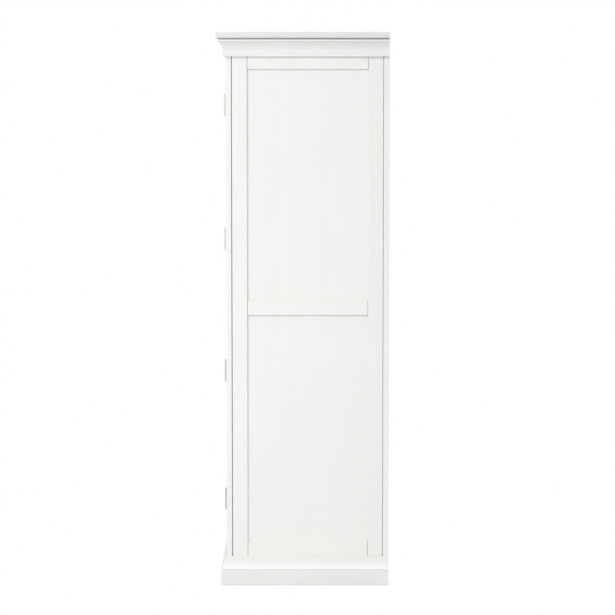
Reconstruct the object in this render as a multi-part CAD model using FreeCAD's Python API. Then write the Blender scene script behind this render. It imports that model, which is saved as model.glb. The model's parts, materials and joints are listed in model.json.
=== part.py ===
import FreeCAD, Part

import math
import os

# A tall, free-standing pantry cabinet with two full-height doors, in millimetres. It stands on Z = 0,
# is centred on X = 0 and faces -Y. It is made as it comes apart on a bench: frame-and-panel sides, back
# and doors, a face frame, boards, mitred mouldings, shelves and metalwork. Each sub-part is written to
# its own STEP file in parts/, and alike pieces share a file as separate solids.

# ---------------------------------------------------------------- driving dimensions
overall_width = 1000.0
overall_depth = 591.0
overall_height = 1900.0
top_overhang = 33.0  # how far the top board stands out past the carcase, at the front and sides

# Carcase faces and thicknesses
body_half = overall_width / 2 - top_overhang
front_y = -overall_depth / 2 + top_overhang
back_y = overall_depth / 2
face_thickness = 19.0
side_thickness = 20.0
back_thickness = 19.0
board_thickness = 18.0

# Heights of the rails, the same all round
top_board_z = 1874.5
crown_z = 1817.8
bottom_rail = (30.0, 150.0)
middle_rail = (935.0, 986.0)
top_rail = (1775.0, top_board_z)
back_top_rail = (1714.0, top_board_z)

# Widths of the upright members
face_stile_width = 45.0
side_front_stile_width = 54.0
side_rear_stile_width = 52.5
back_stile_width = 60.0
back_muntin_width = 50.0

# Frame-and-panel joinery
panel_thickness = 6.0
panel_setback = 6.5
groove_depth = 10.0
panel_insert = 9.0
tenon_thickness = 6.0
tenon_length = 15.0
tenon_shoulder = 10.0
shoulder_gap = 1.0  # shadow line left between a rail's shoulder and its stile
front_quirk = (2.7, 7.0)  # width and depth of the shadow groove behind the face frame
rear_quirk = (1.7, 4.0)

# Crown, top board, base moulding and skirting: distances out from the carcase, and heights
frieze_out = 10.0
cove_foot = (10.0, 1842.0)
cove_head = (25.0, 1867.8)
cove_hollow = 1.7  # how deep the curve is below the straight line between its ends
fillet_out = 27.5
fillet_z = 1868.5
neck_out = 20.0
neck_z = 1879.4
bead_out = 31.5
bead_top = 1885.2
skirting_out = 18.0
skirting_z = 54.5
base_foot = (17.0, 55.5)
base_head = (7.5, 98.5)
base_hollow = 2.8

# Doors
door_thickness = 20.0
door_gap = 2.0
meeting_gap = 3.0
door_stile_width = 60.0
door_rails = (75.0, 60.0, 60.0)  # bottom, middle and top

# Butt hinges: four to a door, of the usual 76 mm size
hinge_heights = (292.0, 740.0, 1194.0, 1652.0)
hinge_length = 76.0
knuckle_count = 5
knuckle_radius = 3.0
knuckle_clearance = 0.2
pin_radius = 1.5
pin_fit = 0.05
pin_stand_off = 3.3  # from the pin's axis back to the front face
leaf_thickness = 1.6
leaf_gap = 0.8
leaf_reach = 15.0
leaf_screw_heights = (-26.0, 0.0, 26.0)
leaf_screw_setback = (9.5, 6.5, 9.5)
screw_radius = 1.6
screw_length = 14.0
screw_head_radius = 3.1
screw_recess = (1.7, 0.45, 1.2)  # half the length and width of the cross's arms, and its depth
screw_fit = 0.1

# Ring pulls
pull_z = 960.0
rosette_rim = (15.0, 1.0)  # this and the next three: distances from the middle, and off the door
rosette_roll = ((14.4, 2.0), (12.9, 2.4))
rosette_dish = (12.0, 1.8)
rosette_sweep = ((8.4, 2.2), (2.8, 4.6))
ball_radius = 4.5
ring_stand_off = 8.4
ring_wire = 1.7
ring_fit = 0.06
ring_bar = 8.0
ring_shoulder = 6.0
ring_drop = 18.0
stud_radius = 2.0
stud_fit = 0.1
cap_nut_radius = 5.0
cap_nut_length = 5.0

# Shelves: four loose ones on pegs, and a fixed one level with the middle rails
shelf_front_y = front_y + 32.5
loose_shelf_heights = (405.0, 677.0, 1225.0, 1497.0)
fixed_shelf_z = 951.0
shelf_end_gap = 1.5
shelf_back_gap = 1.0
peg_radius = 2.5
peg_fit = 0.05
peg_hole_depth = 10.0
peg_length = 9.0
peg_collar = (4.0, 1.2)
peg_reach = 8.8
peg_flat = 2.0
peg_pitch = 32.0
peg_holes_each_way = 2

# Magnetic catches and the strike plates that they hold
catch_size = (46.0, 14.0, 14.0)
catch_x = 34.0
catch_gap = 0.3
magnet_size = (22.0, 10.0, 6.0)
catch_screw_spacing = 35.0
catch_screw_depth = 11.0
strike_size = (36.0, 1.2, 12.0)
strike_margin = 2.0
pan_head = (2.8, 1.6)  # radius and height of the head of a small screw
small_shank_radius = 1.3

# Blocks, cleats and the holes for fixing the cabinet to a wall
corner_block = 40.0
cleat = 20.0
wall_hole_radius = 2.75
wall_hole_spacing = 760.0
wall_hole_z = 1744.0
overrun = 1.0  # how far a bore runs on past the solid that it cuts

SIDES = (("left", -1), ("right", 1))
V = FreeCAD.Vector
X, Y, Z = V(1, 0, 0), V(0, 1, 0), V(0, 0, 1)


# ---------------------------------------------------------------- simple solids
def block(x, y, z):
    """A box between three spans, each given as two ends in either order."""
    low = V(min(x), min(y), min(z))
    return Part.makeBox(max(x) - low.x, max(y) - low.y, max(z) - low.z, low)


def rod(start, direction, radius, length):
    return Part.makeCylinder(radius, length, start, direction)


def along_x(side, distances):
    """Two distances from the middle of the cabinet, as a span on one side of it."""
    return tuple(side * distance for distance in distances)


class Wall:
    """An upright plane of joinery: u runs along it, and depth runs in from its outer face."""

    def __init__(self, across, outer, inward):
        self.across = across
        self.outer = outer
        self.inward = inward

    def block(self, u, depth, z):
        span = tuple(self.outer + self.inward * value for value in depth)
        return block(span, u, z) if self.across == "x" else block(u, span, z)


# ---------------------------------------------------------------- frame-and-panel joinery
def framed_wall(wall, u, z, widths, rails, thickness, muntin_width=0.0):
    """The two stiles, the rails, the muntins and the loose panels of one framed wall.

    widths are those of the stiles at the low and high end of u, and rails are spans of Z from the
    bottom up. Stiles and rails are grooved for the panels, and rails are tongued into the stiles.
    """
    inner = (u[0] + widths[0], u[1] - widths[1])
    tongued = (inner[0] - groove_depth, inner[1] + groove_depth)
    body = (0, thickness)
    groove = (panel_setback, panel_setback + panel_thickness)
    grooved_z = (rails[0][0], rails[-1][1])
    low_stile = wall.block((u[0], inner[0]), body, z).cut(
        wall.block((tongued[0], inner[0]), groove, grooved_z)
    )
    high_stile = wall.block((inner[1], u[1]), body, z).cut(
        wall.block((inner[1], tongued[1]), groove, grooved_z)
    )
    made = {"stiles": [low_stile, high_stile], "rails": [], "muntins": [], "panels": []}

    shoulders = (inner[0] + shoulder_gap, inner[1] - shoulder_gap)
    for number, (foot, head) in enumerate(rails):
        rail = wall.block(shoulders, body, (foot, head)).fuse(
            wall.block(tongued, groove, (foot, head))
        )
        if number > 0:
            rail = rail.cut(wall.block(tongued, groove, (foot, foot + groove_depth)))
        if number < len(rails) - 1:
            rail = rail.cut(wall.block(tongued, groove, (head - groove_depth, head)))
        made["rails"].append(rail)

    for (_, foot), (head, _) in zip(rails, rails[1:]):
        edges = [inner]
        if muntin_width:
            middle = (inner[0] + inner[1]) / 2
            faces = (middle - muntin_width / 2, middle + muntin_width / 2)
            tongue = (foot - groove_depth, head + groove_depth)
            muntin = wall.block(faces, body, (foot + shoulder_gap, head - shoulder_gap))
            muntin = muntin.fuse(wall.block(faces, groove, tongue))
            for near, far in ((faces[0], faces[0] + groove_depth), (faces[1] - groove_depth, faces[1])):
                muntin = muntin.cut(wall.block((near, far), groove, tongue))
            made["muntins"].append(muntin)
            edges = [(inner[0], faces[0]), (faces[1], inner[1])]
        for near, far in edges:
            made["panels"].append(
                wall.block(
                    (near - panel_insert, far + panel_insert),
                    groove,
                    (foot - panel_insert, head + panel_insert),
                )
            )
    return made


# ---------------------------------------------------------------- mitred mouldings
def outline_face(outline, place):
    """A flat face from a section, which is a start point and then lines and arcs.

    Each step is an end point, or a middle point and an end point for an arc. place turns a distance
    out from the carcase and a height into a point in space.
    """
    start = outline[0]
    edges = []
    here = start
    for step in outline[1:] + [start]:
        if isinstance(step[0], tuple):
            middle, end = step
            edges.append(Part.Arc(place(*here), place(*middle), place(*end)).toShape())
        else:
            end = step
            edges.append(Part.LineSegment(place(*here), place(*end)).toShape())
        here = end
    return Part.Face(Part.Wire(edges))


def moulding_run(where, outline):
    """One length of moulding on the front, left or right, mitred at the front corners."""
    reach = 2 * top_overhang
    if where == "front":
        face = outline_face(outline, lambda out, z: V(-body_half - reach, front_y - out, z))
        length = face.extrude(V(2 * (body_half + reach), 0, 0))
        plan = [
            (-body_half, front_y),
            (body_half, front_y),
            (body_half + reach, front_y - reach),
            (-body_half - reach, front_y - reach),
        ]
    else:
        side = dict(SIDES)[where]
        face = outline_face(
            outline, lambda out, z: V(side * (body_half + out), front_y - reach, z)
        )
        length = face.extrude(V(0, back_y - front_y + reach, 0))
        plan = [
            (side * body_half, front_y),
            (side * (body_half + reach), front_y - reach),
            (side * (body_half + reach), back_y),
            (side * body_half, back_y),
        ]
    corners = [V(x, y, 0) for x, y in plan]
    mitre = Part.Face(Part.makePolygon(corners + corners[:1])).extrude(V(0, 0, overall_height))
    return length.common(mitre)


def hollow(start, end, depth):
    """An outline's step along a hollow arc to end, which dips by depth to the left of the way there."""
    run, rise = end[0] - start[0], end[1] - start[1]
    share = depth / math.hypot(run, rise)
    middle = ((start[0] + end[0]) / 2 - rise * share, (start[1] + end[1]) / 2 + run * share)
    return middle, end


def crown_outline():
    """Frieze, cove and fillet, from the carcase outwards."""
    return [
        (0, crown_z),
        (frieze_out, crown_z),
        cove_foot,
        hollow(cove_foot, cove_head, cove_hollow),
        (fillet_out, fillet_z),
        (fillet_out, top_board_z),
        (0, top_board_z),
    ]


def top_board_outline():
    """The top board's moulded edge: a sunk neck, a rounded bead and a square band."""
    return [
        (0, top_board_z),
        (neck_out, top_board_z),
        (neck_out, neck_z),
        (bead_out, neck_z),
        ((top_overhang, (neck_z + bead_top) / 2), (bead_out, bead_top)),
        (top_overhang, bead_top),
        (top_overhang, overall_height),
        (0, overall_height),
    ]


def base_outline():
    """The hollow base moulding, which stands on the skirting and curves in to a thin top edge."""
    return [
        (0, skirting_z),
        (base_foot[0], skirting_z),
        base_foot,
        hollow(base_foot, base_head, base_hollow),
        (0, base_head[1]),
    ]


def skirting_outline():
    return [(0, 0), (skirting_out, 0), (skirting_out, skirting_z), (0, skirting_z)]


def top_board():
    board = block((-body_half, body_half), (front_y, back_y), (top_board_z, overall_height))
    runs = [moulding_run(where, top_board_outline()) for where in ("front", "left", "right")]
    return board.fuse(runs).removeSplitter()


# ---------------------------------------------------------------- hinges and their screws
hinge_x = body_half - face_stile_width - door_gap / 2
pin_y = front_y - pin_stand_off


def hinge_leaf(side, height, outward):
    """One leaf of a butt hinge. outward is 1 for the leaf on the frame and -1 for the door's."""
    low_z = height - hinge_length / 2
    knuckle = hinge_length / knuckle_count
    hand = side * outward
    line = side * hinge_x
    plate_x = (line + hand * leaf_gap / 2, line + hand * (leaf_gap / 2 + leaf_thickness))
    whole = (low_z, low_z + hinge_length)
    leaf = block(plate_x, (pin_y + knuckle_radius + leaf_gap / 2, front_y + leaf_reach), whole)
    first = 0 if outward > 0 else 1
    for number in range(first, knuckle_count, 2):
        foot = low_z + number * knuckle + knuckle_clearance / 2
        tall = knuckle - knuckle_clearance
        barrel = rod(V(line, pin_y, foot), Z, knuckle_radius, tall)
        tab = block(plate_x, (pin_y, front_y + leaf_reach / 2), (foot, foot + tall))
        leaf = leaf.fuse([barrel, tab])
    bore = rod(V(line, pin_y, low_z - overrun), Z, pin_radius + pin_fit, hinge_length + 2 * overrun)
    sinks = [
        Part.makeCone(
            screw_head_radius + screw_fit,
            screw_radius + screw_fit,
            leaf_thickness,
            V(plate_x[0], y, z),
            X * hand,
        )
        for y, z in leaf_screw_places(height)
    ]
    return leaf.cut([bore] + sinks).removeSplitter()


def leaf_screw_places(height):
    return [
        (front_y + setback, height + offset)
        for setback, offset in zip(leaf_screw_setback, leaf_screw_heights)
    ]


def leaf_screws(side, height, outward):
    """Three countersunk screws with crossed recesses, through one leaf into the wood."""
    hand = side * outward
    face_x = side * hinge_x + hand * leaf_gap / 2
    made = []
    for y, z in leaf_screw_places(height):
        head = Part.makeCone(
            screw_head_radius, screw_radius, leaf_thickness, V(face_x, y, z), X * hand
        )
        shank = rod(V(face_x, y, z), X * hand, screw_radius, screw_length)
        long, short, deep = screw_recess
        recess_x = (face_x, face_x + hand * deep)
        cross = [
            block(recess_x, (y - long, y + long), (z - short, z + short)),
            block(recess_x, (y - short, y + short), (z - long, z + long)),
        ]
        made.append(head.fuse(shank).cut(cross))
    return made


def leaf_seats(side, outward):
    """What the hinges take out of the wood: a shallow mortise and three pilot holes each."""
    hand = side * outward
    edge = side * hinge_x + hand * door_gap / 2
    deep = side * hinge_x + hand * (leaf_gap / 2 + leaf_thickness)
    tip = side * hinge_x + hand * (leaf_gap / 2 + screw_length)
    cuts = []
    for height in hinge_heights:
        half = hinge_length / 2
        cuts.append(block((edge, deep), (front_y, front_y + leaf_reach), (height - half, height + half)))
        for y, z in leaf_screw_places(height):
            cuts.append(rod(V(edge, y, z), X * hand, screw_radius, abs(tip - edge)))
    return cuts


def hinge_pin(side, height):
    """A plain pin, flush with the ends of the end knuckles."""
    return rod(V(side * hinge_x, pin_y, height - hinge_length / 2), Z, pin_radius, hinge_length)


# ---------------------------------------------------------------- carcase
def face_frame():
    """Two stiles and two rails, joined with mortises and tenons."""
    front = Wall("y", front_y, 1)
    inner = body_half - face_stile_width
    middle = ((face_thickness - tenon_thickness) / 2, (face_thickness + tenon_thickness) / 2)
    tenon_spans = [
        (bottom_rail[0] + tenon_shoulder, bottom_rail[1] - tenon_shoulder),
        (top_rail[0] + tenon_shoulder, top_rail[1] - tenon_shoulder),
    ]
    parts = {}
    for name, side in SIDES:
        stile = front.block(along_x(side, (inner, body_half)), (0, face_thickness), (0, top_board_z))
        mortises = [
            front.block(along_x(side, (inner, inner + tenon_length)), middle, span)
            for span in tenon_spans
        ]
        parts[f"face_frame_{name}_stile"] = [stile.cut(mortises + leaf_seats(side, 1))]
    for name, rail, span in zip(("bottom", "top"), (bottom_rail, top_rail), tenon_spans):
        reach = inner + tenon_length
        body = front.block((-inner, inner), (0, face_thickness), rail)
        parts[f"face_frame_{name}_rail"] = [body.fuse(front.block((-reach, reach), middle, span))]
    return parts


def peg_heights():
    """Heights of every peg hole: a short ladder of them round each loose shelf's own."""
    return [
        shelf - peg_flat + step * peg_pitch
        for shelf in loose_shelf_heights
        for step in range(-peg_holes_each_way, peg_holes_each_way + 1)
    ]


side_front = front_y + face_thickness
side_rear = back_y - back_thickness
peg_columns = (side_front + side_front_stile_width / 2, side_rear - side_rear_stile_width / 2)
inside_x = body_half - side_thickness


def side_wall(name, side):
    """One framed side, quirked where it meets the face frame and the back."""
    wall = Wall("x", side * body_half, -side)
    made = framed_wall(
        wall,
        (side_front, side_rear),
        (0, top_board_z),
        (side_front_stile_width, side_rear_stile_width),
        (bottom_rail, middle_rail, top_rail),
        side_thickness,
    )
    quirks = (
        wall.block((side_front, side_front + front_quirk[0]), (0, front_quirk[1]), (0, top_board_z)),
        wall.block((side_rear - rear_quirk[0], side_rear), (0, rear_quirk[1]), (0, top_board_z)),
    )
    parts = {}
    for place, stile, quirk, y in zip(("front", "rear"), made["stiles"], quirks, peg_columns):
        holes = [
            rod(V(side * inside_x, y, z), X * side, peg_radius + peg_fit, peg_hole_depth)
            for z in peg_heights()
        ]
        parts[f"{name}_side_{place}_stile"] = [stile.cut([quirk] + holes)]
    parts[f"{name}_side_rails"] = made["rails"]
    parts[f"{name}_side_panels"] = made["panels"]
    return parts


def back_wall():
    """The framed back, whose top rail is bored for screws into a wall."""
    made = framed_wall(
        Wall("y", back_y, -1),
        (-body_half, body_half),
        (0, top_board_z),
        (back_stile_width, back_stile_width),
        (bottom_rail, middle_rail, back_top_rail),
        back_thickness,
        back_muntin_width,
    )
    holes = [
        rod(V(side * wall_hole_spacing / 2, back_y, wall_hole_z), -Y, wall_hole_radius, back_thickness)
        for _, side in SIDES
    ]
    made["rails"][-1] = made["rails"][-1].cut(holes)
    return {
        "back_stiles": made["stiles"],
        "back_rails": made["rails"],
        "back_muntins": made["muntins"],
        "back_panels": made["panels"],
    }


def boards():
    """The floor, the ceiling, the fixed shelf and the loose ones."""
    across = (-inside_x, inside_x)
    full = (side_front, side_rear)
    from_front = (shelf_front_y, side_rear)
    loose_half = inside_x - shelf_end_gap
    floor_z, ceiling_z = bottom_rail[1], top_rail[0]
    floor = block(across, full, (floor_z - board_thickness, floor_z))
    ceiling = block(across, full, (ceiling_z, ceiling_z + board_thickness))
    parts = {
        "floor_board": [floor.cut(catch_pilots(floor_z, 1))],
        "ceiling_board": [ceiling.cut(catch_pilots(ceiling_z, -1))],
        "fixed_shelf": [block(across, from_front, (fixed_shelf_z, fixed_shelf_z + board_thickness))],
    }
    for number, z in enumerate(loose_shelf_heights, 1):
        depth = (shelf_front_y, side_rear - shelf_back_gap)
        parts[f"loose_shelf_{number}"] = [
            block((-loose_half, loose_half), depth, (z, z + board_thickness))
        ]
    return parts


def shelf_pegs():
    """Collared pegs with flattened tops, four under each loose shelf."""
    pegs = []
    collar_radius, collar_width = peg_collar
    for _, side in SIDES:
        for y in peg_columns:
            for shelf in loose_shelf_heights:
                face = V(side * inside_x, y, shelf - peg_flat)
                peg = rod(face, X * side, peg_radius, peg_length)
                collar = rod(face, X * -side, collar_radius, collar_width)
                rest = rod(face, X * -side, peg_radius, collar_width + peg_reach)
                waste = block(
                    (rest.BoundBox.XMin, rest.BoundBox.XMax),
                    (y - peg_radius, y + peg_radius),
                    (shelf, shelf + peg_radius),
                )
                pegs.append(peg.fuse([collar, rest.cut(waste)]).removeSplitter())
    return {"shelf_pegs": pegs}


def blocks_and_cleats():
    """Glue blocks in the corners under the floor and over the ceiling, and the fixed shelf's cleats."""
    blocks = []
    low = (bottom_rail[0], bottom_rail[1] - board_thickness)
    high = (top_rail[0] + board_thickness, top_board_z)
    for _, side in SIDES:
        across = along_x(side, (inside_x - corner_block, inside_x))
        for depth in ((side_front, side_front + corner_block), (side_rear - corner_block, side_rear)):
            blocks += [block(across, depth, low), block(across, depth, high)]
    reach = (side_front + side_front_stile_width, side_rear - side_rear_stile_width)
    cleats = [
        block(along_x(side, (inside_x - cleat, inside_x)), reach, (fixed_shelf_z - cleat, fixed_shelf_z))
        for _, side in SIDES
    ]
    return {"corner_blocks": blocks, "shelf_cleats": cleats}


def mouldings():
    """Crown, base moulding and skirting, each in three mitred lengths, and the top board."""
    parts = {"top_board": [top_board()]}
    for name, outline in (
        ("crown", crown_outline()),
        ("base_moulding", base_outline()),
        ("skirting", skirting_outline()),
    ):
        for where in ("front", "left", "right"):
            parts[f"{name}_{where}"] = [moulding_run(where, outline)]
    return parts


# ---------------------------------------------------------------- doors
door_edges = (meeting_gap / 2, hinge_x - door_gap / 2)
door_z = (bottom_rail[1] + door_gap, top_rail[0] - door_gap)
pull_x = door_edges[0] + door_stile_width / 2
middle_z = sum(middle_rail) / 2
catch_front = front_y + door_thickness + strike_size[1] + catch_gap


def door(name, side):
    """One framed door, with seats for its hinges and a hole for its pull."""
    low, middle, top = door_rails
    rails = (
        (door_z[0], door_z[0] + low),
        (middle_z - middle / 2, middle_z + middle / 2),
        (door_z[1] - top, door_z[1]),
    )
    widths = (door_stile_width, door_stile_width)
    span = tuple(sorted(along_x(side, door_edges)))
    made = framed_wall(Wall("y", front_y, 1), span, door_z, widths, rails, door_thickness)
    meeting, hinged = made["stiles"] if side > 0 else reversed(made["stiles"])
    pull_hole = rod(V(side * pull_x, front_y, pull_z), Y, stud_radius + stud_fit, door_thickness)
    return {
        f"{name}_door_hinge_stile": [hinged.cut(leaf_seats(side, -1))],
        f"{name}_door_meeting_stile": [meeting.cut([pull_hole] + strike_screws(side))],
        f"{name}_door_rails": made["rails"],
        f"{name}_door_panels": made["panels"],
    }


def pull_rosette(side):
    """A turned rosette with a bored ball, on a stud through the door to a cap nut."""
    centre = V(side * pull_x, front_y, pull_z)
    neck_radius, neck_foot = rosette_sweep[1]
    outline = [(0, 0), (rosette_rim[0], 0), rosette_rim, rosette_roll, rosette_dish, rosette_sweep]
    section = outline_face(outline + [(0, neck_foot)], lambda out, off: V(out, -off, 0))
    disc = section.revolve(V(0, 0, 0), Y, 360)
    disc.translate(centre)
    ball = Part.makeSphere(ball_radius, centre - Y * ring_stand_off)
    neck = rod(centre, -Y, neck_radius, ring_stand_off)
    stud = rod(centre, Y, stud_radius, door_thickness + cap_nut_length / 2)
    bore = rod(
        centre - Y * ring_stand_off - X * 2 * ball_radius, X, ring_wire + ring_fit, 4 * ball_radius
    )
    knob = disc.fuse([ball, neck, stud]).cut(bore).removeSplitter()
    nut_face = centre + Y * door_thickness
    nut = rod(nut_face, Y, cap_nut_radius, cap_nut_length)
    nut = nut.cut(rod(nut_face, Y, stud_radius + stud_fit, cap_nut_length / 2))
    return [knob, nut]


def pull_ring(side):
    """A round ring with a flat bar at its top, which turns in the ball of the rosette."""
    centre = V(side * pull_x, front_y - ring_stand_off, pull_z)

    def at(x, z):
        return centre + V(x, 0, z)

    to_shoulder = math.hypot(ring_bar, ring_drop - ring_shoulder)
    radius = to_shoulder + ring_shoulder
    slope = math.atan2(ring_drop - ring_shoulder, ring_bar)
    half_turn = (math.pi / 2 + slope) / 2

    def on_shoulder(sign, angle):
        return at(
            sign * (ring_bar + ring_shoulder * math.cos(angle)),
            ring_shoulder * (math.sin(angle) - 1),
        )

    stretches = [
        Part.LineSegment(at(0, 0), at(ring_bar, 0)),
        Part.Arc(at(ring_bar, 0), on_shoulder(1, half_turn), on_shoulder(1, slope)),
        Part.Arc(on_shoulder(1, slope), at(0, -ring_drop - radius), on_shoulder(-1, slope)),
        Part.Arc(on_shoulder(-1, slope), on_shoulder(-1, half_turn), at(-ring_bar, 0)),
        Part.LineSegment(at(-ring_bar, 0), at(0, 0)),
    ]
    path = Part.Wire([stretch.toShape() for stretch in stretches])
    section = Part.Wire([Part.makeCircle(ring_wire, at(0, 0), X)])
    return [path.makePipeShell([section], True, False)]


def small_screw(head_base, inward, depth):
    """A pan-headed screw, whose head stands on head_base and whose shank runs inward."""
    radius, height = pan_head
    head = rod(head_base, inward * -1, radius, height)
    return head.fuse(rod(head_base, inward, small_shank_radius, depth)).removeSplitter()


def catch_screw_seats(side, base, up):
    """Where a catch's two screws enter it, on the face away from the board that carries it."""
    y = catch_front + catch_size[1] / 2
    return [
        V(side * catch_x + offset, y, base + up * catch_size[2])
        for offset in (-catch_screw_spacing / 2, catch_screw_spacing / 2)
    ]


def catch_pilots(base, up):
    """Screw holes for the catches that stand on a board whose face is at base."""
    return [
        rod(seat, Z * -up, small_shank_radius, catch_size[2] + catch_screw_depth)
        for _, side in SIDES
        for seat in catch_screw_seats(side, base, up)
    ]


def magnetic_catches():
    """Two catches to a door, on the floor and under the ceiling, each with a magnet and two screws."""
    wide, deep, tall = catch_size
    magnet_wide, magnet_deep, magnet_tall = magnet_size
    cases, magnets, screws = [], [], []
    for _, side in SIDES:
        centre = side * catch_x
        for base, up in ((bottom_rail[1], 1), (top_rail[0], -1)):
            middle = base + up * tall / 2
            case = block(
                (centre - wide / 2, centre + wide / 2),
                (catch_front, catch_front + deep),
                (base, base + up * tall),
            )
            magnet = block(
                (centre - magnet_wide / 2, centre + magnet_wide / 2),
                (catch_front, catch_front + magnet_deep),
                (middle - magnet_tall / 2, middle + magnet_tall / 2),
            )
            cases.append(case.cut([magnet] + catch_pilots(base, up)))
            magnets.append(magnet)
            screws += [
                small_screw(seat, Z * -up, tall + catch_screw_depth)
                for seat in catch_screw_seats(side, base, up)
            ]
    return {"catch_cases": cases, "catch_magnets": magnets, "catch_screws": screws}


def strike_screws(side):
    """The countersunk screw through the middle of each of a door's two strike plates."""
    thick, tall = strike_size[1:]
    made = []
    for z in (door_z[0] + strike_margin + tall / 2, door_z[1] - strike_margin - tall / 2):
        face = V(side * catch_x, front_y + door_thickness + thick, z)
        head = Part.makeCone(pan_head[0], small_shank_radius, thick, face, -Y)
        shank = rod(face, -Y, small_shank_radius, thick + catch_screw_depth)
        made.append(head.fuse(shank).removeSplitter())
    return made


def door_strikes(side):
    """The two steel plates on the back of a door, with their screws."""
    wide, thick, tall = strike_size
    back = front_y + door_thickness
    x = (side * catch_x - wide / 2, side * catch_x + wide / 2)
    made = []
    for screw in strike_screws(side):
        z = screw.BoundBox.Center.z
        plate = block(x, (back, back + thick), (z - tall / 2, z + tall / 2))
        made += [plate.cut(screw), screw]
    return made


def ironmongery():
    """Hinges, pins, screws, strike plates and ring pulls."""
    parts = {
        "hinge_frame_leaves": [],
        "hinge_frame_screws": [],
        "hinge_pins": [],
    }
    for name, side in SIDES:
        parts[f"{name}_door_hinge_leaves"] = [hinge_leaf(side, z, -1) for z in hinge_heights]
        parts[f"{name}_door_hinge_screws"] = [
            screw for z in hinge_heights for screw in leaf_screws(side, z, -1)
        ]
        parts["hinge_frame_leaves"] += [hinge_leaf(side, z, 1) for z in hinge_heights]
        parts["hinge_frame_screws"] += [
            screw for z in hinge_heights for screw in leaf_screws(side, z, 1)
        ]
        parts["hinge_pins"] += [hinge_pin(side, z) for z in hinge_heights]
        parts[f"{name}_door_strikes"] = door_strikes(side)
        parts[f"{name}_pull_rosette"] = pull_rosette(side)
        parts[f"{name}_pull_ring"] = pull_ring(side)
    return parts


def cabinet():
    """Every sub-part by name, as a list of separate solids."""
    parts = {}
    parts.update(face_frame())
    for name, side in SIDES:
        parts.update(side_wall(name, side))
        parts.update(door(name, side))
    for group in (
        back_wall,
        boards,
        shelf_pegs,
        blocks_and_cleats,
        mouldings,
        magnetic_catches,
        ironmongery,
    ):
        parts.update(group())
    return parts


def main():
    os.makedirs("parts", exist_ok=True)
    parts = cabinet()
    for name, shapes in parts.items():
        solids = [solid for shape in shapes for solid in shape.Solids]
        if not all(solid.isValid() and solid.Volume > 0 for solid in solids):
            raise ValueError(name + " has a solid that isn't closed")
        Part.makeCompound(solids).exportStep(os.path.join("parts", name + ".step"))
    print(len(parts), "sub-parts")


main()
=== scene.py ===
import json
import math
from typing import NamedTuple

import bpy
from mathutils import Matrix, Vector


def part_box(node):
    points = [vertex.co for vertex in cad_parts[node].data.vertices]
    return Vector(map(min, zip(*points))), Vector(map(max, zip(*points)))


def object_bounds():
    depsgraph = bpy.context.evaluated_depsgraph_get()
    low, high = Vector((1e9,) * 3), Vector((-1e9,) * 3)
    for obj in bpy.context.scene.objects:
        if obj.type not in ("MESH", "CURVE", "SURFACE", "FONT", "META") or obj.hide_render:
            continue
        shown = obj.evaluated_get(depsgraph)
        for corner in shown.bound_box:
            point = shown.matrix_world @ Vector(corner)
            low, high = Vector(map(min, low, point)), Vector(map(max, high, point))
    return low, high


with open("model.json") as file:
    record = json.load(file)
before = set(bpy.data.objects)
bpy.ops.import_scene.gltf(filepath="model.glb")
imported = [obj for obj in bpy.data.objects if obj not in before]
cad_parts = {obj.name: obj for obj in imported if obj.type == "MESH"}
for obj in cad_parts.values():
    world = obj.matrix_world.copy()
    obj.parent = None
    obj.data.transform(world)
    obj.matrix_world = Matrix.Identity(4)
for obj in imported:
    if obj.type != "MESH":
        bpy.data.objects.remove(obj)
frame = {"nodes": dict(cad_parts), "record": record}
cad_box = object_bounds()

# ---------------------------------------------------------------- looks: sizes in metres
CAMERA_DISTANCE = 8.38  # from the cabinet's right side
CAMERA_HEIGHT = 1.7243
CAMERA_TILT = math.radians(5.2)  # below level
CAMERA_LENS = 143.74  # millimetres, like the sensor
CAMERA_SENSOR = 36.0
CAMERA_RANGE = 200.0

WHITE = (1.0, 1.0, 1.0)
AMBIENT_STRENGTH = 0.45
# Distant lights: the way towards each one, its softness in degrees and its power
DISTANT_LIGHTS = {
    "broad": (Vector((0.80, -0.20, 0.58)), 25.0, 1.5),
    "overhead": (Vector((0.15, -0.05, 0.98)), 60.0, 0.40),
    "front": (Vector((-0.25, -0.93, 0.28)), 40.0, 0.6),
    "rear": (Vector((-0.62, 0.55, 0.56)), 30.0, 0.9),
}
LIGHT_DISTANCE = 10.0  # about how far the distant lights' lamps stand from the cabinet's middle
# The key light is an upright strip: how far it stands out from the right and front, and its height
KEY_PLACE = (1.7, 1.4, 1.35)
KEY_SIZE = (0.6, 1.6)
KEY_POWER = 15.5
FLOOR_SIZE = 120.0
FLOOR_COLOUR = (0.7, 0.7, 0.7)
FLOOR_ROUGHNESS = 0.9
CONTACT_SHADOW = 0.85  # brightness of the floor's painted contact shadow in the crease under the cabinet
CONTACT_SHADOW_REACH = 0.025
CONTACT_OPENNESS = (0.3, 0.8)  # from how enclosed to how open a place is the shadow fades out

WOOD_EASE = 0.0012  # how far the sharp edges of wooden members are eased
THIN_EASE = 0.0004  # on panels and on the crown's and top board's fine mouldings
EASE_SEGMENTS = 2
EASED_ANGLE = math.radians(40)  # edges that turn by more than this are eased
FLAT_ANGLE = math.radians(0.5)  # facets that turn by less than this become one face
WELD_DISTANCE = 0.00001

# Painted shade and highlight: paint is darkened deep in grooves as painted shade, and lightened along edges
# as a painted highlight
OPENNESS_RAYS = 8
CREASE_REACH = 0.008
CREASE_OPENNESS = (0.1, 0.45)  # from how enclosed to how open a place is the darkening fades out
# painted shade: the paint's brightness where a groove is deepest
CREASE_SHADE = 0.55
EDGE_REACH = 0.003
EDGE_OPENNESS = (0.5, 1.0)
# painted highlight: how much lighter the paint is drawn along edges
EDGE_HIGHLIGHT = 1.05

NOISE_SPREAD = (0.3, 0.7)  # most of a noise pattern lies between these


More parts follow.
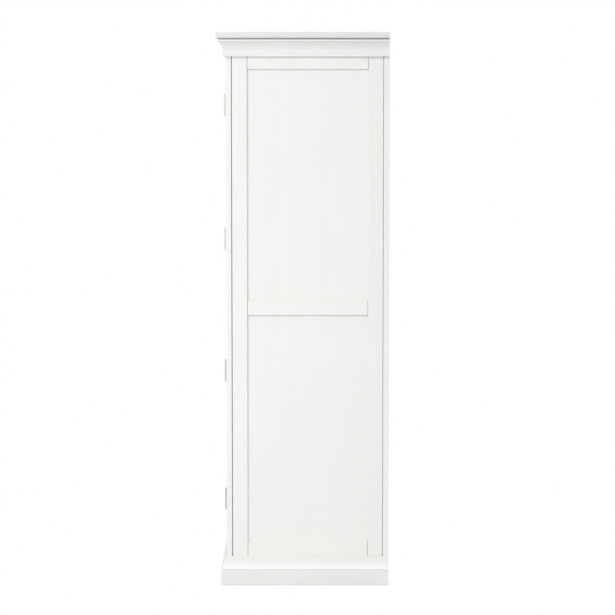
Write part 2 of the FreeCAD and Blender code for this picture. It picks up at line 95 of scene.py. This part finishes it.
class Finish(NamedTuple):
    """What a material's colour and roughness vary between, and the relief of its surface."""

    colour: tuple  # as linear light
    shares: tuple  # of the colour, at its darkest and lightest
    roughness: tuple  # at its smoothest and roughest
    relief: tuple  # its depth and its strength


PAINT = Finish((0.762, 0.756, 0.742), (0.975, 1.018), (0.37, 0.48), (0.0002, 0.5))
PINE = Finish((0.74, 0.58, 0.38), (0.72, 1.12), (0.62, 0.78), (0.00015, 0.6))
NICKEL = Finish((0.60, 0.585, 0.56), (0.9, 1.06), (0.28, 0.42), (0.00002, 0.5))
ZINC = Finish((0.66, 0.66, 0.655), (0.9, 1.06), (0.22, 0.36), (0.00002, 0.5))
PLASTIC = Finish((0.74, 0.735, 0.71), (0.96, 1.02), (0.45, 0.6), (0.00004, 0.6))
MAGNET = Finish((0.05, 0.05, 0.052), (0.7, 1.6), (0.45, 0.7), (0.00005, 0.6))
MAGNET_METAL = 0.6  # how metallic it is

# How light each group's paint is: one white paint, drawn darker or lighter per group as painted shade and
# light for how brightly each group is lit
GROUP_PAINTED_LIGHT = {
    "top": 0.90,
    "crown": 0.97,
    "base": 0.97,
    "skirting": 0.95,
    "panel": 0.995,
    "rear": 0.985,
    "board": 0.98,
    "frame": 1.0,
}
# Plated slots: their finish, and the axis that they are brushed along
PLATED = {"hinge_nickel": (NICKEL, "z"), "pull_nickel": (NICKEL, "x"), "bright_steel": (ZINC, "x")}


# ---------------------------------------------------------------- node helpers
class Shader:
    """A material's node tree with one Principled shader, and short ways to add to it."""

    def __init__(self, name):
        self.material = bpy.data.materials.new(name)
        self.material.use_nodes = True
        self.tree = self.material.node_tree
        self.tree.nodes.clear()
        self.output = self.add("ShaderNodeOutputMaterial")
        self.surface = self.add("ShaderNodeBsdfPrincipled")
        self.link(self.surface.outputs["BSDF"], self.output.inputs["Surface"])

    def add(self, kind, **settings):
        node = self.tree.nodes.new(kind)
        for key, value in settings.items():
            setattr(node, key, value)
        return node

    def link(self, source, target):
        self.tree.links.new(source, target)

    def stretched(self, axis=None, stretch=1.0):
        """Object coordinates. A pattern on them is drawn out along axis by 1 / stretch."""
        coordinates = self.add("ShaderNodeTexCoord")
        mapping = self.add("ShaderNodeMapping")
        mapping.inputs["Scale"].default_value = [stretch if name == axis else 1.0 for name in "xyz"]
        self.link(coordinates.outputs["Object"], mapping.inputs["Vector"])
        return mapping.outputs["Vector"]

    def noise(self, scale, detail, roughness=0.5, distortion=0.0, axis=None, stretch=1.0):
        """Noise with scale cells in a metre, drawn out along axis if there is one."""
        noise = self.add("ShaderNodeTexNoise")
        noise.inputs["Scale"].default_value = scale
        noise.inputs["Detail"].default_value = detail
        noise.inputs["Roughness"].default_value = roughness
        noise.inputs["Distortion"].default_value = distortion
        self.link(self.stretched(axis, stretch), noise.inputs["Vector"])
        return noise.outputs["Fac"]

    def remap(self, value, target=(0.0, 1.0), spread=NOISE_SPREAD):
        """value, moved from its spread to the target range and held inside it."""
        remap = self.add("ShaderNodeMapRange")
        remap.inputs["From Min"].default_value = spread[0]
        remap.inputs["From Max"].default_value = spread[1]
        remap.inputs["To Min"].default_value = target[0]
        remap.inputs["To Max"].default_value = target[1]
        self.link(value, remap.inputs["Value"])
        return remap.outputs["Result"]

    def weighted(self, value, weight):
        """value times weight."""
        product = self.add("ShaderNodeMath", operation="MULTIPLY")
        product.inputs[1].default_value = weight
        self.link(value, product.inputs[0])
        return product.outputs["Value"]

    def blend(self, first, *others):
        """The sum of patterns, each given with its weight."""
        total = self.weighted(*first)
        for other in others:
            added = self.add("ShaderNodeMath", operation="ADD")
            self.link(total, added.inputs[0])
            self.link(self.weighted(*other), added.inputs[1])
            total = added.outputs["Value"]
        return total

    def tint(self, factor, colour, shares):
        """colour times its first share where factor is 0, and times its second where factor is 1."""
        ramp = self.add("ShaderNodeValToRGB")
        for element, share in zip(ramp.color_ramp.elements, shares):
            element.color = (*scaled(colour, share), 1)
        self.link(factor, ramp.inputs["Fac"])
        return ramp.outputs["Color"]

    def openness(self, reach, inside=False):
        """1 in the open, and less within reach of a crease, or of an edge if inside."""
        occlusion = self.add("ShaderNodeAmbientOcclusion", samples=OPENNESS_RAYS, inside=inside)
        occlusion.inputs["Distance"].default_value = reach
        return occlusion.outputs["AO"]

    def shade(self, colour, factor):
        """colour times factor."""
        product = self.add("ShaderNodeVectorMath", operation="SCALE")
        self.link(colour, product.inputs[0])
        self.link(factor, product.inputs["Scale"])
        return product.outputs["Vector"]

    def cover(self, finish, colour, sheen, height):
        """Gives the surface its colour, a roughness that follows sheen and a relief that follows height."""
        depth, strength = finish.relief
        bump = self.add("ShaderNodeBump")
        bump.inputs["Distance"].default_value = depth
        bump.inputs["Strength"].default_value = strength
        self.link(height, bump.inputs["Height"])
        self.link(bump.outputs["Normal"], self.surface.inputs["Normal"])
        self.link(self.remap(sheen, finish.roughness), self.surface.inputs["Roughness"])
        self.link(colour, self.surface.inputs["Base Color"])


def scaled(colour, factor):
    return tuple(channel * factor for channel in colour)


# ---------------------------------------------------------------- materials
def painted(name, grain, tone):
    """Satin white paint over wood, whose grain shows faintly through it along one axis."""
    shader = Shader(name)
    fibres = shader.noise(scale=900.0, detail=4.0, roughness=0.6, axis=grain, stretch=0.02)
    figure = shader.noise(
        scale=22.0, detail=3.0, roughness=0.55, distortion=0.6, axis=grain, stretch=0.06
    )
    patches = shader.noise(scale=3.2, detail=2.0)
    stipple = shader.noise(scale=1500.0, detail=2.0, roughness=0.6)
    variation = shader.blend((figure, 0.35), (patches, 0.4), (fibres, 0.25))
    # tone darkens or lightens the one white paint per group, as painted shade or light
    even = shader.tint(shader.remap(variation), scaled(PAINT.colour, tone), PAINT.shares)
    # painted shade: the paint is darkened deep in grooves and creases, where shade falls
    painted_crease_shade = shader.remap(shader.openness(CREASE_REACH), (CREASE_SHADE, 1.0), CREASE_OPENNESS)
    # painted highlight: the paint is lightened along convex edges
    edges = shader.remap(shader.openness(EDGE_REACH, inside=True), (EDGE_HIGHLIGHT, 1.0), EDGE_OPENNESS)
    # the paint's colour with the painted crease shade and the painted edge highlight
    paint_with_painted_light = shader.shade(shader.shade(even, painted_crease_shade), edges)
    shader.cover(PAINT, paint_with_painted_light, patches, shader.blend((fibres, 0.6), (stipple, 0.4)))
    return shader.material


def bare_wood(name, grain):
    """Planed pine, with growth rings and fine fibres."""
    shader = Shader(name)
    rings = shader.add("ShaderNodeTexWave", wave_type="RINGS", rings_direction=grain.upper())
    rings.inputs["Scale"].default_value = 34.0
    rings.inputs["Distortion"].default_value = 5.0
    rings.inputs["Detail"].default_value = 3.0
    rings.inputs["Detail Scale"].default_value = 0.6
    shader.link(shader.stretched(grain, 0.05), rings.inputs["Vector"])
    fibres = shader.noise(scale=1100.0, detail=4.0, roughness=0.6, axis=grain, stretch=0.02)
    variation = shader.blend((rings.outputs["Fac"], 0.7), (fibres, 0.3))
    shader.cover(PINE, shader.tint(variation, PINE.colour, PINE.shares), fibres, fibres)
    return shader.material


def plated(name, finish, brushed):
    """Plated metal, with fine brushing along one axis and slight clouding."""
    shader = Shader(name)
    shader.surface.inputs["Metallic"].default_value = 1.0
    brushing = shader.noise(scale=5200.0, detail=3.0, roughness=0.6, axis=brushed, stretch=0.05)
    clouds = shader.noise(scale=90.0, detail=3.0)
    variation = shader.blend((brushing, 0.5), (clouds, 0.5))
    colour = shader.tint(shader.remap(variation), finish.colour, finish.shares)
    shader.cover(finish, colour, variation, brushing)
    return shader.material


def moulded_plastic(name):
    """White moulded plastic with a fine spark-eroded texture."""
    shader = Shader(name)
    texture = shader.noise(scale=2600.0, detail=2.0)
    clouds = shader.noise(scale=60.0, detail=2.0)
    colour = shader.tint(shader.remap(clouds), PLASTIC.colour, PLASTIC.shares)
    shader.cover(PLASTIC, colour, texture, texture)
    return shader.material


def sintered_magnet(name):
    """A dark, slightly sparkling sintered magnet."""
    shader = Shader(name)
    shader.surface.inputs["Metallic"].default_value = MAGNET_METAL
    grains = shader.noise(scale=3200.0, detail=3.0, roughness=0.7)
    colour = shader.tint(shader.remap(grains), MAGNET.colour, MAGNET.shares)
    shader.cover(MAGNET, colour, grains, grains)
    return shader.material


# ---------------------------------------------------------------- what each CAD node is made of
def grain_of(node):
    """The axis that a wooden node's grain follows."""
    if node.endswith(("stile", "stiles", "muntins", "panels", "corner_blocks")):
        return "z"
    if node == "shelf_cleats" or node.endswith(("side_rails", "_left", "_right")):
        return "y"
    return "x"


def group_of(node):
    """The group that a wooden node shares its tone of paint with, and so its painted shade or light."""
    if node.startswith(("crown", "top_board", "skirting")):
        return node.split("_")[0]
    if node.startswith("base_moulding"):
        return "base"
    if node.endswith("panels"):
        return "panel"
    if node.endswith(("rear_stile", "back_stiles", "back_rails", "back_muntins")):
        return "rear"
    if node.endswith(("shelf", "board")) or node.startswith("loose_shelf"):
        return "board"
    return "frame"


made = {}


def shared(key, make, *arguments):
    """One material per key, made the first time that it is asked for."""
    if key not in made:
        made[key] = make(key, *arguments)
    return made[key]


def material_for(node, slot):
    """The material of a node, by the slot that the record gives it."""
    if slot.startswith("painted"):
        grain, group = grain_of(node), group_of(node)
        return shared(f"paint_{group}_{grain}", painted, grain, GROUP_PAINTED_LIGHT[group])
    if slot == "bare_pine":
        return shared(f"pine_{grain_of(node)}", bare_wood, grain_of(node))
    if slot in PLATED:
        return shared(slot, plated, *PLATED[slot])
    if slot == "magnet":
        return shared(slot, sintered_magnet)
    return shared(slot, moulded_plastic)


def ease(piece, width):
    """Rounds the sharp edges of a CAD node's solids, without touching its mesh."""
    weld = piece.modifiers.new("weld", "WELD")
    weld.merge_threshold = WELD_DISTANCE
    flat = piece.modifiers.new("flat", "DECIMATE")
    flat.decimate_type = "DISSOLVE"
    flat.angle_limit = FLAT_ANGLE
    bevel = piece.modifiers.new("ease", "BEVEL")
    bevel.limit_method = "ANGLE"
    bevel.angle_limit = EASED_ANGLE
    bevel.width = width
    bevel.segments = EASE_SEGMENTS
    bevel.use_clamp_overlap = False
    bevel.miter_outer = "MITER_ARC"
    normals = piece.modifiers.new("normals", "WEIGHTED_NORMAL")
    normals.keep_sharp = True


def finish_nodes():
    """Gives every CAD node its material, and eases the edges of the wooden ones."""
    slots = {part["node"]: part["material_slot"] for part in frame["record"]["subparts"]}
    for node, piece in frame["nodes"].items():
        slot = slots[node]
        material = material_for(node, slot)
        for place in piece.material_slots:
            place.material = material
        if slot.startswith(("painted", "bare")):
            fine = node.endswith("panels") or node.startswith(("crown", "top_board"))
            ease(piece, THIN_EASE if fine else WOOD_EASE)


# ---------------------------------------------------------------- stage, light and camera
def add_light(name, kind, place, target, power, **settings):
    """A lamp at place, which points at target."""
    light = bpy.data.lights.new(name, kind)
    light.energy = power
    for key, value in settings.items():
        setattr(light, key, value)
    lamp = bpy.data.objects.new(name, light)
    lamp.location = place
    lamp.rotation_euler = (Vector(target) - Vector(place)).to_track_quat("-Z", "Y").to_euler()
    bpy.context.scene.collection.objects.link(lamp)


def show_camera(tree, usual, seen, target):
    """Sends seen to the target for the camera's own rays, and usual for all others."""
    rays = tree.nodes.new("ShaderNodeLightPath")
    mix = tree.nodes.new("ShaderNodeMixShader")
    tree.links.new(rays.outputs["Is Camera Ray"], mix.inputs["Fac"])
    tree.links.new(usual, mix.inputs[1])
    tree.links.new(seen, mix.inputs[2])
    tree.links.new(mix.outputs["Shader"], target)


def stage():
    """A plain white floor and sky. The sky lights the cabinet less than it shows to the camera."""
    scene = bpy.context.scene
    scene.world = bpy.data.worlds.new("studio")
    scene.world.use_nodes = True
    tree = scene.world.node_tree
    sky = tree.nodes["Background"]
    sky.inputs["Strength"].default_value = AMBIENT_STRENGTH
    sky.inputs["Color"].default_value = (*WHITE, 1)
    shown = tree.nodes.new("ShaderNodeBackground")
    shown.inputs["Color"].default_value = (*WHITE, 1)
    world_surface = tree.nodes["World Output"].inputs["Surface"]
    show_camera(tree, sky.outputs["Background"], shown.outputs["Background"], world_surface)

    half = FLOOR_SIZE / 2
    corners = [(-half, -half, 0), (half, -half, 0), (half, half, 0), (-half, half, 0)]
    mesh = bpy.data.meshes.new("studio_floor")
    mesh.from_pydata(corners, [], [(0, 1, 2, 3)])
    floor = bpy.data.objects.new("studio_floor", mesh)
    scene.collection.objects.link(floor)
    mesh.materials.append(floor_material())


def floor_material():
    """White where it is open, with a faint painted contact shadow in the crease under the cabinet."""
    shader = Shader("studio_floor")
    shader.surface.inputs["Base Color"].default_value = (*FLOOR_COLOUR, 1)
    shader.surface.inputs["Roughness"].default_value = FLOOR_ROUGHNESS
    shader.surface.inputs["Specular IOR Level"].default_value = 0.0
    glow = shader.add("ShaderNodeEmission")
    fade = shader.remap(shader.openness(CONTACT_SHADOW_REACH), spread=CONTACT_OPENNESS)
    shader.link(shader.tint(fade, WHITE, (CONTACT_SHADOW, 1.0)), glow.inputs["Color"])
    floor_surface = shader.output.inputs["Surface"]
    show_camera(shader.tree, shader.surface.outputs["BSDF"], glow.outputs["Emission"], floor_surface)
    return shader.material


def lights():
    """Soft distant lights, and a strip of light that stands in front of the cabinet's right side."""
    low, high = cad_box
    middle = (Vector(low) + Vector(high)) / 2
    for name, (direction, softness, power) in DISTANT_LIGHTS.items():
        place = middle + direction * LIGHT_DISTANCE
        add_light(name, "SUN", place, middle, power, angle=math.radians(softness))
    out, forward, height = KEY_PLACE
    wide, tall = KEY_SIZE
    key = (high[0] + out, low[1] - forward, height)
    aim = (high[0], (low[1] + high[1]) / 2, height)
    add_light("key", "AREA", key, aim, KEY_POWER, shape="RECTANGLE", size=wide, size_y=tall)


def camera():
    """Faces the cabinet's right side, from near its top and tilted down a little."""
    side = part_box("right_side_rails")[1].x
    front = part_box("face_frame_right_stile")[0].y
    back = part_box("back_stiles")[1].y
    data = bpy.data.cameras.new("camera")
    data.sensor_width = CAMERA_SENSOR
    data.lens = CAMERA_LENS
    data.clip_end = CAMERA_RANGE
    viewer = bpy.data.objects.new("camera", data)
    viewer.location = (side + CAMERA_DISTANCE, (front + back) / 2, CAMERA_HEIGHT)
    viewer.rotation_euler = (math.radians(90) - CAMERA_TILT, 0, math.radians(90))
    bpy.context.scene.collection.objects.link(viewer)
    bpy.context.scene.camera = viewer
    bpy.context.scene.view_settings.view_transform = "Standard"


finish_nodes()
stage()
lights()
camera()
